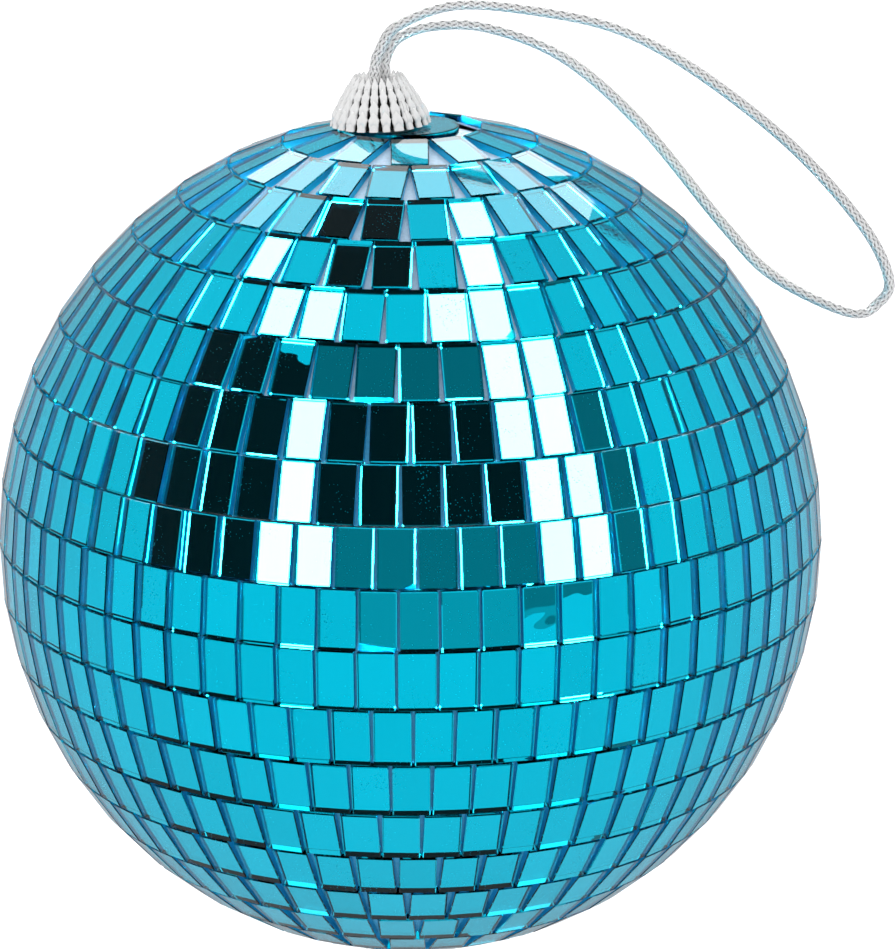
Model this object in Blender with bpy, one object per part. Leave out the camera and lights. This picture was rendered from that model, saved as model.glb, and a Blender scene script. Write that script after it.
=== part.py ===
"""Hanging mirror ball, 150 mm across: rows of cyan mirror tiles on a foam core, with a silver cap
and a cord loop that turns in the cap.

Metres, +Z up. The origin is the middle of the bottom disc's outer face, where the ball stands.
Run with: blender --background --python part.py
"""
import math

import bmesh
import bpy
from mathutils import Vector

# ---- Driving sizes -------------------------------------------------------------------------------
BALL_DIAMETER = 0.150          # across the tile corners at the equator
BALL_HEIGHT = 0.1536           # from pole to pole; the tiles lie on this ellipsoid
FIT_GAP = 0.0003               # clearance between pieces that touch

ROW_COUNT = 20                 # strips of tiles from the top opening to the bottom one
TILE_PITCH = 0.00685           # room for one tile on the shorter edge of a row
TILE_WIDTH = 0.00635
UPPER_TILE_WIDTH = 0.0066      # in the first rows, where it fits
UPPER_ROWS = 6
TILE_GAP = 0.0002              # least space between two tiles of a row
ROW_GAP = 0.00035              # space between two rows, along the surface
TILE_THICKNESS = 0.0017
STRIP_THICKNESS = 0.0004       # backing that joins the tiles of a row
WIDE_GAP = 0.0028              # a gap wider than this shows the strip between its tiles
CHORD_TILES = 50               # a strip with more tiles than this is flat across pairs of tiles
# Where each row starts, as a share of one tile to the right of the front.
ROW_STARTS = (0.5, 0.0, -0.1, 0.1, 0.4, -0.3, 0.0, -0.25, 0.15, -0.3,
              -0.35, 0.05, 0.5, 0.25, -0.35, -0.1, 0.15, 0.4, 0.2, 0.5)

TOP_DISC_RADIUS = 0.0098
BOTTOM_DISC_RADIUS = 0.0140
TOP_OPENING_MARGIN = 0.0032    # from the disc's edge to the tile corners of the first row
BOTTOM_OPENING_MARGIN = 0.0016
DISC_SHIFT = 0.0010            # the top disc sits this far from the pole, towards the cap
DISC_DROP = 0.0011             # and this far below it
DISC_SEGMENTS = 32

CORE_SEGMENTS = 36
SPIGOT_RADIUS = 0.020          # boss on the lower half that locates the upper half
SPIGOT_HEIGHT = 0.006

CAP_SHIFT = 0.0052             # the cap's axis stands this far from the ball's own axis
CAP_RIM_RADIUS = 0.0092
CAP_CROWN_RADIUS = 0.0043
CAP_HEIGHT = 0.0088
CAP_WALL = 0.0009
CAP_TIERS = 4
CAP_FLUTES = 24
FLUTE_DEPTH = 0.00035
TIER_STEP = 0.0004

CORD_DIAMETER = 0.0020
STRAND_SPREAD = 0.00085        # each strand's offset from the cap's axis, in X and in Y
CORD_CLEARANCE = 0.0003        # around the two strands in the crown hole and in the plug's neck

KNOT_RADIUS = 0.0029
PLUG_WALL = 0.0007
PLUG_LENGTH = 0.0180           # below the flange
PLUG_NECK_LENGTH = 0.0050
PLUG_FLANGE_RADIUS = 0.0060
PLUG_FLANGE_THICKNESS = 0.0010
PLUG_RIB_COUNT = 3
PLUG_RIB_HEIGHT = 0.0003
PLUG_SEGMENTS = 20

# The cord's visible route from the middle of the crown hole, for a ball of these two sizes.
ROUTE_DIAMETER = 0.150
ROUTE_HEIGHT = 0.1536
CORD_ROUTE = (
    (-0.0010, -0.0009, 0.0004), (0.0000, -0.0011, 0.0044), (0.0032, -0.0015, 0.0089),
    (0.0132, -0.0030, 0.0128), (0.0272, -0.0040, 0.0120), (0.0422, -0.0040, 0.0086),
    (0.0562, -0.0040, 0.0009), (0.0732, -0.0030, -0.0126), (0.0862, -0.0020, -0.0271),
    (0.0914, -0.0003, -0.0371), (0.0902, 0.0010, -0.0419), (0.0849, 0.0020, -0.0442),
    (0.0712, 0.0035, -0.0379), (0.0622, 0.0040, -0.0289), (0.0467, 0.0035, -0.0100),
    (0.0327, 0.0025, 0.0024), (0.0192, 0.0015, 0.0080), (0.0092, 0.0012, 0.0084),
    (0.0031, 0.0010, 0.0062), (0.0009, 0.0009, 0.0024),
)
CORD_POINT_SPACING = 2 * CORD_DIAMETER

# ---- Sizes worked out from the driving ones ------------------------------------------------------
EQUATOR = BALL_DIAMETER / 2
POLE = BALL_HEIGHT / 2
CENTRE_Z = POLE
SKIN = TILE_THICKNESS + STRIP_THICKNESS
FIRST_EDGE = math.asin((TOP_DISC_RADIUS + TOP_OPENING_MARGIN) / EQUATOR)
LAST_EDGE = math.pi - math.asin((BOTTOM_DISC_RADIUS + BOTTOM_OPENING_MARGIN) / EQUATOR)
ROW_PITCH = (LAST_EDGE - FIRST_EDGE) / ROW_COUNT
HALF_ROW_GAP = ROW_GAP / (EQUATOR + POLE)

CAP_AXIS = Vector((-CAP_SHIFT, 0, 0))
DISC_TOP_Z = BALL_HEIGHT - DISC_DROP
CAP_BASE_Z = DISC_TOP_Z + FIT_GAP
CROWN_Z = CAP_BASE_Z + CAP_HEIGHT
STRAND_REACH = math.hypot(STRAND_SPREAD, STRAND_SPREAD) + CORD_DIAMETER / 2
NECK_RADIUS = STRAND_REACH + CORD_CLEARANCE
CHAMBER_RADIUS = KNOT_RADIUS + FIT_GAP
PLUG_RADIUS = CHAMBER_RADIUS + PLUG_WALL
SOCKET_RADIUS = PLUG_RADIUS + FIT_GAP
SOCKET_DEPTH = PLUG_LENGTH + FIT_GAP
NECK_BOTTOM_Z = CAP_BASE_Z - PLUG_NECK_LENGTH
KNOT_Z = NECK_BOTTOM_Z - FIT_GAP - KNOT_RADIUS
CORD_END_Z = KNOT_Z + KNOT_RADIUS + FIT_GAP


# ---- Helpers -------------------------------------------------------------------------------------
def clear_scene():
    for obj in list(bpy.data.objects):
        bpy.data.objects.remove(obj, do_unlink=True)


def make_material(name, colour, metallic, roughness):
    material = bpy.data.materials.new(name)
    material.use_nodes = True
    shader = material.node_tree.nodes["Principled BSDF"]
    shader.inputs["Base Color"].default_value = (*colour, 1.0)
    shader.inputs["Metallic"].default_value = metallic
    shader.inputs["Roughness"].default_value = roughness
    return material


def add_object(name, bm, material, location=(0, 0, 0), smooth_angle=None):
    """Turn a bmesh into a named object with faces pointing out."""
    bmesh.ops.recalc_face_normals(bm, faces=bm.faces)
    mesh = bpy.data.meshes.new(name)
    bm.to_mesh(mesh)
    bm.free()
    mesh.materials.append(material)
    if smooth_angle is not None:
        mesh.shade_smooth()
        mesh.set_sharp_from_angle(angle=math.radians(smooth_angle))
    obj = bpy.data.objects.new(name, mesh)
    obj.location = location
    bpy.context.scene.collection.objects.link(obj)
    return obj


def turned(profile, segments):
    """Spin a profile of (radius, height) points about Z. It ends on the axis or closes on itself."""
    bm = bmesh.new()
    verts = [bm.verts.new((radius, 0, height)) for radius, height in profile]
    edges = [bm.edges.new(pair) for pair in zip(verts, verts[1:])]
    if profile[0][0] > 0:
        edges.append(bm.edges.new((verts[-1], verts[0])))
    bmesh.ops.spin(bm, geom=verts + edges, cent=(0, 0, 0), axis=(0, 0, 1),
                   angle=math.tau, steps=segments, use_merge=True)
    bmesh.ops.remove_doubles(bm, verts=bm.verts, dist=1e-6)
    return bm


def drill(obj, name, radius, centre, bottom, top):
    """Cut a round hole along Z with a hidden cutter."""
    bm = turned([(0, top), (radius, top), (radius, bottom), (0, bottom)], PLUG_SEGMENTS)
    cutter = add_object(name, bm, obj.data.materials[0], centre)
    cutter.hide_render = True
    cutter.display_type = "WIRE"
    cut = obj.modifiers.new("Hole", "BOOLEAN")
    cut.operation = "DIFFERENCE"
    cut.solver = "EXACT"
    cut.object = cutter


def skin_point(colatitude, depth):
    """Radius and height of a point this deep below the ball's surface, square to it."""
    normal = Vector((math.sin(colatitude) / EQUATOR, math.cos(colatitude) / POLE)).normalized()
    radius = EQUATOR * math.sin(colatitude) - depth * normal.x
    height = CENTRE_Z + POLE * math.cos(colatitude) - depth * normal.y
    return radius, height


def on_circle(radius, height, angle):
    """A point at this angle to the right of the front, which faces -Y."""
    return Vector((radius * math.sin(angle), -radius * math.cos(angle), height))


# ---- Rows of tiles -------------------------------------------------------------------------------
def row_edge(index):
    """Colatitude of the line above row `index`."""
    return FIRST_EDGE + index * ROW_PITCH


def tile_count(index):
    """Tiles in a row: as many as fit round its shorter edge, in pairs."""
    shorter = min(math.sin(row_edge(index)), math.sin(row_edge(index + 1)))
    return 2 * round(math.tau * EQUATOR * shorter / TILE_PITCH / 2)


def tile_width(index):
    """Width of a row's tiles, less where their corners would meet on its shorter edge."""
    count = tile_count(index)
    shorter = min(line[0][0] for line in row_lines(index))
    room = 2 * shorter * math.sin(math.pi / count) - TILE_GAP
    return min(UPPER_TILE_WIDTH if index < UPPER_ROWS else TILE_WIDTH, room)


def tiles_per_chord(count):
    return 2 if count > CHORD_TILES else 1


def row_lines(index):
    """The six lines a row is made on: outer, groove and inner, at its top and bottom edges."""
    lines = []
    for colatitude in (row_edge(index) + HALF_ROW_GAP, row_edge(index + 1) - HALF_ROW_GAP):
        lines.append([skin_point(colatitude, depth) for depth in (0, TILE_THICKNESS, SKIN)])
    return lines


def tile_row(index, material):
    """One closed strip: flat tiles standing on a thin backing, with a groove between tiles."""
    count = tile_count(index)
    step = math.tau / count
    start = ROW_STARTS[index % len(ROW_STARTS)] * step
    chord = tiles_per_chord(count)
    lines = row_lines(index)
    width = tile_width(index)
    widest = math.tau * max(line[0][0] for line in lines) / count - width
    floored = widest > WIDE_GAP
    bm = bmesh.new()

    ends = []
    for outer, groove, inner in lines:
        corner = math.asin(width / 2 / outer[0])
        end = {"left": [], "right": [], "floor_left": [], "floor_right": [], "inner": []}
        for tile in range(count):
            middle = start + (tile + 0.5) * step
            seam = start + tile * step
            end["left"].append(bm.verts.new(on_circle(*outer, middle - corner)))
            end["right"].append(bm.verts.new(on_circle(*outer, middle + corner)))
            if floored:
                end["floor_left"].append(bm.verts.new(on_circle(*groove, middle - corner)))
                end["floor_right"].append(bm.verts.new(on_circle(*groove, middle + corner)))
            else:
                end["floor_left"].append(bm.verts.new(on_circle(*groove, seam)))
            if tile % chord == 0:
                end["inner"].append(bm.verts.new(on_circle(*inner, seam)))
        if not floored:
            end["floor_right"] = end["floor_left"][1:] + end["floor_left"][:1]
        ends.append(end)

    top, bottom = ends
    for tile in range(count):
        after = (tile + 1) % count
        bm.faces.new((top["left"][tile], top["right"][tile],
                      bottom["right"][tile], bottom["left"][tile]))
        bm.faces.new((top["floor_left"][tile], top["left"][tile],
                      bottom["left"][tile], bottom["floor_left"][tile]))
        bm.faces.new((top["right"][tile], top["floor_right"][tile],
                      bottom["floor_right"][tile], bottom["right"][tile]))
        if floored:
            bm.faces.new((top["floor_right"][tile], top["floor_left"][after],
                          bottom["floor_left"][after], bottom["floor_right"][tile]))
    chords = count // chord
    for piece in range(chords):
        after = (piece + 1) % chords
        bm.faces.new((top["inner"][after], top["inner"][piece],
                      bottom["inner"][piece], bottom["inner"][after]))
        for end in ends:
            close_end(bm, end, piece, after, chord, count, floored)
    return add_object(f"tile_row_{index + 1:02d}", bm, material)


def close_end(bm, end, piece, after, chord, count, floored):
    """Fill the edge of a strip between two of its inner points."""
    here, there = end["inner"][piece], end["inner"][after]
    first = piece * chord
    if chord == 1:
        bm.faces.new((here, end["floor_left"][first], end["left"][first],
                      end["right"][first], end["floor_right"][first], there))
        if floored:
            bm.faces.new((there, end["floor_right"][first], end["floor_left"][(first + 1) % count]))
        return
    second = first + 1
    middle = end["floor_left"][second]
    bm.faces.new((here, end["floor_left"][first], end["left"][first], end["right"][first], middle))
    bm.faces.new((middle, end["left"][second], end["right"][second],
                  end["floor_right"][second], there))
    bm.faces.new((here, middle, there))


# ---- Core, discs ---------------------------------------------------------------------------------
def core_point(boundary):
    """A point of the core's outline under the line between two rows, clear of both strips."""
    colatitude = row_edge(boundary)
    sag = 0
    for index in (boundary - 1, boundary):
        if 0 <= index < ROW_COUNT:
            count = tile_count(index)
            half_chord = math.pi * tiles_per_chord(count) / count
            radius = skin_point(colatitude, SKIN)[0]
            sag = max(sag, radius * (1 - math.cos(half_chord)) * math.sin(colatitude))
    return skin_point(colatitude, SKIN + FIT_GAP + sag)


def core_halves(material):
    """Two foam halves that meet at the ball's widest level, located by a round spigot."""
    outline = [core_point(boundary) for boundary in range(ROW_COUNT + 1)]
    seam_radius = skin_point(math.pi / 2, SKIN)[0] * math.cos(math.tau / tile_count(ROW_COUNT // 2))
    seam_radius -= FIT_GAP
    upper = [point for point in outline if point[1] > CENTRE_Z + ROW_GAP * 4]
    lower = [point for point in outline if point[1] < CENTRE_Z - ROW_GAP * 4]
    seat = DISC_TOP_Z - SKIN - FIT_GAP
    seat_radius = TOP_DISC_RADIUS + DISC_SHIFT + FIT_GAP
    seam = CENTRE_Z + FIT_GAP / 2
    recess = SPIGOT_RADIUS + FIT_GAP
    bm = turned([(0, seat), (seat_radius, seat), *upper, (seam_radius, seam), (recess, seam),
                 (recess, seam + SPIGOT_HEIGHT), (0, seam + SPIGOT_HEIGHT)], CORE_SEGMENTS)
    top_half = add_object("core_upper", bm, material, smooth_angle=30)
    drill(top_half, "socket_cutter", SOCKET_RADIUS, CAP_AXIS,
          CAP_BASE_Z - SOCKET_DEPTH, DISC_TOP_Z)

    seam = CENTRE_Z - FIT_GAP / 2
    rest = SKIN + FIT_GAP
    rest_radius = BOTTOM_DISC_RADIUS + FIT_GAP
    bm = turned([(0, seam + SPIGOT_HEIGHT), (SPIGOT_RADIUS, seam + SPIGOT_HEIGHT),
                 (SPIGOT_RADIUS, seam), (seam_radius, seam), *lower, (rest_radius, rest),
                 (0, rest)], CORE_SEGMENTS)
    add_object("core_lower", bm, material, smooth_angle=30)


def pole_discs(material):
    """Flat round mirror discs that close the two openings. The plug passes through the top one."""
    bm = turned([(0, SKIN), (TOP_DISC_RADIUS, SKIN), (TOP_DISC_RADIUS, 0), (0, 0)], DISC_SEGMENTS)
    top = add_object("pole_disc_top", bm, material, (-DISC_SHIFT, 0, DISC_TOP_Z - SKIN))
    drill(top, "plug_hole_cutter", SOCKET_RADIUS, CAP_AXIS,
          DISC_TOP_Z - 2 * SKIN, DISC_TOP_Z + SKIN)
    bm = turned([(0, SKIN), (BOTTOM_DISC_RADIUS, SKIN), (BOTTOM_DISC_RADIUS, 0), (0, 0)],
                DISC_SEGMENTS)
    add_object("pole_disc_bottom", bm, material)


# ---- Cap, plug and cord --------------------------------------------------------------------------
def cap_radius(height):
    return CAP_RIM_RADIUS + (CAP_CROWN_RADIUS - CAP_RIM_RADIUS) * height / CAP_HEIGHT


def cap(material):
    """Hollow bell of stepped, fluted tiers with a hole in its crown."""
    outside = []
    for tier in range(CAP_TIERS):
        low = CAP_HEIGHT * tier / CAP_TIERS
        high = CAP_HEIGHT * (tier + 1) / CAP_TIERS
        base = cap_radius(low) - (TIER_STEP if tier else 0)
        outside.append((base, low))
        outside.append((cap_radius(high) + TIER_STEP, high))
    roof = CAP_HEIGHT - CAP_WALL
    thickness = CAP_WALL + TIER_STEP
    inside = [(NECK_RADIUS, CAP_HEIGHT), (NECK_RADIUS, roof),
              (cap_radius(roof) - thickness, roof), (CAP_RIM_RADIUS - thickness, 0)]
    segments = 2 * CAP_FLUTES
    bm = turned(outside + inside, segments)
    for vert in bm.verts:
        radius = math.hypot(vert.co.x, vert.co.y)
        on_outside = any(abs(radius - point[0]) < 1e-6 and abs(vert.co.z - point[1]) < 1e-6
                         for point in outside)
        turn = round(math.atan2(vert.co.y, vert.co.x) / math.tau * segments)
        if on_outside and turn % 2 == 0:
            shrink = 1 - FLUTE_DEPTH / radius
            vert.co.x *= shrink
            vert.co.y *= shrink
    add_object("cap", bm, material, CAP_AXIS + Vector((0, 0, CAP_BASE_Z)))


def anchor_plug(material):
    """Ribbed tube pressed into the core. Its neck holds the knot and its flange carries the cap."""
    base = CAP_BASE_Z
    profile = [(NECK_RADIUS, PLUG_FLANGE_THICKNESS), (PLUG_FLANGE_RADIUS, PLUG_FLANGE_THICKNESS),
               (PLUG_FLANGE_RADIUS, 0), (PLUG_RADIUS, 0)]
    span = PLUG_LENGTH / (PLUG_RIB_COUNT + 1)
    for rib in range(1, PLUG_RIB_COUNT + 1):
        level = -span * rib
        profile += [(PLUG_RADIUS - PLUG_RIB_HEIGHT, level), (PLUG_RADIUS, level - span / 3)]
    profile += [(PLUG_RADIUS - PLUG_RIB_HEIGHT, -PLUG_LENGTH), (CHAMBER_RADIUS, -PLUG_LENGTH),
                (CHAMBER_RADIUS, -PLUG_NECK_LENGTH), (NECK_RADIUS, -PLUG_NECK_LENGTH)]
    bm = turned(profile, PLUG_SEGMENTS)
    add_object("anchor_plug", bm, material, CAP_AXIS + Vector((0, 0, base)))


def hanger_pivot():
    """The cord and its knot turn together about the cap's axis."""
    pivot = bpy.data.objects.new("hanger_pivot", None)
    pivot.location = CAP_AXIS + Vector((0, 0, CROWN_Z))
    bpy.context.scene.collection.objects.link(pivot)
    return pivot


def cord_knot(pivot, material):
    """The tied ends of the cord, a tight round lump under the plug's neck."""
    bm = bmesh.new()
    bmesh.ops.create_uvsphere(bm, u_segments=14, v_segments=8, radius=KNOT_RADIUS)
    knot = add_object("cord_knot", bm, material, (0, 0, KNOT_Z - pivot.location.z), 60)
    knot.parent = pivot


def cord_points():
    """Points along a smooth curve through the cord's route, both ends going down to the knot."""
    front = Vector((-CAP_SHIFT - STRAND_SPREAD, -STRAND_SPREAD, 0))
    back = Vector((-CAP_SHIFT + STRAND_SPREAD, STRAND_SPREAD, 0))
    levels = (CORD_END_Z, CAP_BASE_Z, CROWN_Z)
    crown = CAP_AXIS + Vector((0, 0, CROWN_Z))
    across, up = BALL_DIAMETER / ROUTE_DIAMETER, BALL_HEIGHT / ROUTE_HEIGHT
    route = [front + Vector((0, 0, level)) for level in levels[:2]]
    route += [crown + Vector((x * across, y * across, z * up)) for x, y, z in CORD_ROUTE]
    route += [back + Vector((0, 0, level)) for level in reversed(levels)]
    padded = [2 * route[0] - route[1], *route, 2 * route[-1] - route[-2]]
    fine = []
    for before, start, end, after in zip(padded, padded[1:], padded[2:], padded[3:]):
        for part in range(40):
            fine.append(smooth_between(before, start, end, after, part / 40))
    fine.append(route[-1])
    total = sum((b - a).length for a, b in zip(fine, fine[1:]))
    spaces = math.ceil(total / CORD_POINT_SPACING)
    points, travelled = [fine[0]], 0.0
    for a, b in zip(fine, fine[1:]):
        travelled += (b - a).length
        if travelled >= total * len(points) / spaces and len(points) < spaces:
            points.append(b)
    points.append(fine[-1])
    return points


def smooth_between(before, start, end, after, share):
    """A point on the smooth curve from start to end, shaped by the points before and after."""
    square, cube = share * share, share ** 3
    return (start * (2 * cube - 3 * square + 1) + end * (3 * square - 2 * cube)
            + (end - before) / 2 * (cube - 2 * square + share)
            + (after - start) / 2 * (cube - square))


def cord_loop(pivot, material):
    """One round cord, doubled into a hanging loop that droops to the right."""
    curve = bpy.data.curves.new("cord_loop", "CURVE")
    curve.dimensions = "3D"
    curve.bevel_depth = CORD_DIAMETER / 2
    curve.bevel_resolution = 2
    curve.use_fill_caps = True
    points = cord_points()
    spline = curve.splines.new("POLY")
    spline.points.add(len(points) - 1)
    for slot, point in zip(spline.points, points):
        slot.co = (*(point - pivot.location), 1)
    curve.materials.append(material)
    cord = bpy.data.objects.new("cord_loop", curve)
    bpy.context.scene.collection.objects.link(cord)
    cord.parent = pivot


def main():
    clear_scene()
    mirror = make_material("cyan_mirror_tile", (0.0, 0.50, 0.70), 0.9, 0.08)
    foam = make_material("white_foam", (0.88, 0.90, 0.93), 0.0, 0.7)
    silver = make_material("silver_metallised_cap", (0.86, 0.86, 0.86), 1.0, 0.22)
    plastic = make_material("white_plastic", (0.80, 0.80, 0.80), 0.0, 0.4)
    braid = make_material("silver_metallic_cord", (0.70, 0.71, 0.72), 0.8, 0.35)
    core_halves(foam)
    for index in range(ROW_COUNT):
        tile_row(index, mirror)
    pole_discs(mirror)
    anchor_plug(plastic)
    cap(silver)
    pivot = hanger_pivot()
    cord_knot(pivot, braid)
    cord_loop(pivot, braid)


main()
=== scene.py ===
"""Looks of a cyan mirror ball on a braided silver cord: glass tiles, foam, metallised cap and studio."""

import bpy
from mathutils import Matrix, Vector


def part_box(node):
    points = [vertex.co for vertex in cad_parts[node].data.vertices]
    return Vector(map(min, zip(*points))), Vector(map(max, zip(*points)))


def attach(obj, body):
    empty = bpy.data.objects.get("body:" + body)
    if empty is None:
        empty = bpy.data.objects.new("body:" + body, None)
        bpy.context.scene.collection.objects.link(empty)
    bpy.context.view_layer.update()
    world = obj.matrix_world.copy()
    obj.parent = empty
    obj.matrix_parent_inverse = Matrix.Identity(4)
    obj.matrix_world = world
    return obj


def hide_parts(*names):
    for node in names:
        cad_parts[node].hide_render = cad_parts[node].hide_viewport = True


bl_info = {
    "name": "Mirror Ball Looks",
    "version": (1, 0, 0),
    "blender": (4, 5, 0),
    "location": "3D View > Sidebar > Mirror Ball",
    "description": "Builds the tiles, cap, cord and studio of a hanging mirror ball",
    "category": "Object",
}

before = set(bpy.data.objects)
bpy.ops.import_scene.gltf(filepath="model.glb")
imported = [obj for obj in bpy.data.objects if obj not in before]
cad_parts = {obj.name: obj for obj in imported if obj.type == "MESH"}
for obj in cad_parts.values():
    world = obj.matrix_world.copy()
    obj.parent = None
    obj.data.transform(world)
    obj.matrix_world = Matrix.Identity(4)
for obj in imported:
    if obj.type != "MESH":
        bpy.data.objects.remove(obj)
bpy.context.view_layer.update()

import math
import random

import bmesh
import bpy
from bpy.props import FloatProperty, FloatVectorProperty, IntProperty, PointerProperty
from mathutils import Matrix, Vector

MM = 0.001
BALL, HANGER = "ball", "hanger"    # the two bodies that pieces ride on
SAME_WAY = 0.9                     # cosine above which a face counts as facing a direction

# ---- The ball, as its CAD rows are laid out -------------------------------------------------------
EQUATOR = 75.0 * MM                # radius over the tiles' corners
POLE = 76.8 * MM                   # from the middle to where the tiles' surface would close
TOP_OPENING = 13.0 * MM            # radius of the opening above the first row, at its corners
BOTTOM_OPENING = 15.6 * MM
CENTRE = Vector((0, 0, POLE))
ROW_COUNT = 20
UPPER_ROWS = 6                     # rows of slightly wider tiles on white strip; under the rest the strip is painted blue shade
ROW_GAP = 0.35 * MM
TILE_PITCH = 6.85 * MM             # room for one tile on the shorter edge of a row
TILE_GAP = 0.2 * MM                # least space between two tiles of a row
ROW_STARTS = (0.5, 0.0, -0.1, 0.1, 0.4, -0.3, 0.0, -0.25, 0.15, -0.3,
              -0.35, 0.05, 0.5, 0.25, -0.35, -0.1, 0.15, 0.4, 0.2, 0.5)
STRIP_DEPTH = 0.05 * MM            # glue between a tile and its strip
STRIP_THICKNESS = 0.3 * MM
GLASS_FACE, MIRROR_FACE, STRIP_FACE, EDGE_FACE = range(4)      # a row's material slots
FIRST_EDGE = math.asin(TOP_OPENING / EQUATOR)
LAST_EDGE = math.pi - math.asin(BOTTOM_OPENING / EQUATOR)
ROW_PITCH = (LAST_EDGE - FIRST_EDGE) / ROW_COUNT
HALF_ROW_GAP = ROW_GAP / (EQUATOR + POLE)

TOP_DISC_RADIUS = 9.8 * MM
TOP_DISC_SHIFT = -1.0 * MM         # of its middle from the pole, towards the cap
TOP_DISC_SOCKET = 4.2 * MM         # radius of its opening for the plug
BOTTOM_DISC_RADIUS = 14.0 * MM
DISC_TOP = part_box("pole_disc_top")[1][2]

CAP_AXIS = Vector((-5.2 * MM, 0, 0))
CAP_BASE = DISC_TOP + 0.3 * MM     # clear of the disc under it
CAP_HEIGHT = 8.8 * MM
CAP_STEPS = 96                     # heights at which the cap's outline is pressed
STEPS_PER_LEAF = 16                # and places round each leaf
CROWN_HOLE = 2.8 * MM              # radius of the hole that the cord comes out of
CROWN_WALL = 0.6 * MM
RIM_WALL = 1.8 * MM
CROWN_STEP = 0.7 * MM              # the crown stands this far inside the tips of the last leaves
CORD_END_Z = CAP_BASE - 5.0 * MM   # where the two strands meet the knot
STRAND = 0.85 * MM                 # each strand's offset from the cap's axis, in X and in Y
CORD_SPACING = 0.15 * MM           # between two rings of the cord's surface
CORD_SIDES = 32
BRAID_STRANDS = 8
BRAID_RELIEF = 0.16 * MM           # from a thread's back down to the gaps

# The cord's visible route from the middle of the crown hole, in metres.
CORD_ROUTE = (
    (-0.0010, -0.0009, 0.0004), (0.0000, -0.0011, 0.0044), (0.0032, -0.0015, 0.0089),
    (0.0132, -0.0030, 0.0128), (0.0272, -0.0040, 0.0120), (0.0422, -0.0040, 0.0086),
    (0.0562, -0.0040, 0.0009), (0.0732, -0.0030, -0.0126), (0.0862, -0.0020, -0.0271),
    (0.0914, -0.0003, -0.0371), (0.0902, 0.0010, -0.0419), (0.0849, 0.0020, -0.0442),
    (0.0712, 0.0035, -0.0379), (0.0622, 0.0040, -0.0289), (0.0467, 0.0035, -0.0100),
    (0.0327, 0.0025, 0.0024), (0.0192, 0.0015, 0.0080), (0.0092, 0.0012, 0.0084),
    (0.0031, 0.0010, 0.0062), (0.0009, 0.0009, 0.0024),
)


# ---- Small helpers -------------------------------------------------------------------------------
def linear(colour):
    """An sRGB hex colour as linear red, green and blue."""
    parts = [int(colour[place:place + 2], 16) / 255 for place in (1, 3, 5)]
    return tuple(v / 12.92 if v <= 0.04045 else ((v + 0.055) / 1.055) ** 2.4 for v in parts)


def new_material(name):
    """A node material with its shader."""
    material = bpy.data.materials.new(name)
    material.use_nodes = True
    return material, material.node_tree, material.node_tree.nodes["Principled BSDF"]


def add(tree, kind, links=None, **settings):
    """One node with its settings, where in_X is the value of its input X. Links go from another
    node's output socket to this one's input."""
    node = tree.nodes.new(kind)
    for name, value in settings.items():
        if name == "ramp":
            fill_ramp(node.color_ramp, value)
        elif name.startswith("in_"):
            key = name[3:]
            node.inputs[int(key) if key.isdigit() else key].default_value = value
        else:
            setattr(node, name, value)
    for key, socket in (links or {}).items():
        tree.links.new(socket, node.inputs[key])
    return node


def fill_ramp(ramp, stops):
    """Give a colour ramp its stops. A colour is an sRGB hex, or linear where it is a setting."""
    while len(ramp.elements) < len(stops):
        ramp.elements.new(1.0)
    for element, (position, colour) in zip(ramp.elements, stops):
        element.position = position
        element.color = (*(linear(colour) if isinstance(colour, str) else colour), 1)


def shared(name, make, settings):
    """The material of this name, made the first time it is asked for."""
    return bpy.data.materials.get(name) or make(settings)


def finish_piece(name, bm, body, materials, nodes=(), smooth=None):
    """Turn a bmesh into a piece that rides on a body and stands for CAD nodes."""
    mesh = bpy.data.meshes.new(name)
    bm.to_mesh(mesh)
    bm.free()
    for material in materials:
        mesh.materials.append(material)
    if smooth is not None:
        mesh.shade_smooth()
        mesh.set_sharp_from_angle(angle=math.radians(smooth))
    piece = bpy.data.objects.new(name, mesh)
    bpy.context.scene.collection.objects.link(piece)
    if body:
        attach(piece, body)
    if nodes:
        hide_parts(*nodes)
    return piece


def dress(node, material):
    """Give a carried-over CAD node its material."""
    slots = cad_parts[node].material_slots
    if not slots:
        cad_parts[node].data.materials.append(material)
    for entry in slots:
        entry.material = material


def turned(profile, segments, start=0.0):
    """Spin a closed profile of (radius, height) points about Z, from this angle."""
    bm = bmesh.new()
    turn = Matrix.Rotation(start, 3, "Z")
    verts = [bm.verts.new(turn @ Vector((radius, 0, height))) for radius, height in profile]
    edges = [bm.edges.new(pair) for pair in zip(verts, verts[1:])]
    if profile[0][0] > 0:
        edges.append(bm.edges.new((verts[-1], verts[0])))
    bmesh.ops.spin(bm, geom=verts + edges, cent=(0, 0, 0), axis=(0, 0, 1), angle=math.tau,
                   steps=segments, use_merge=True)
    bmesh.ops.remove_doubles(bm, verts=bm.verts, dist=1e-6)
    bmesh.ops.recalc_face_normals(bm, faces=bm.faces)
    return bm


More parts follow.
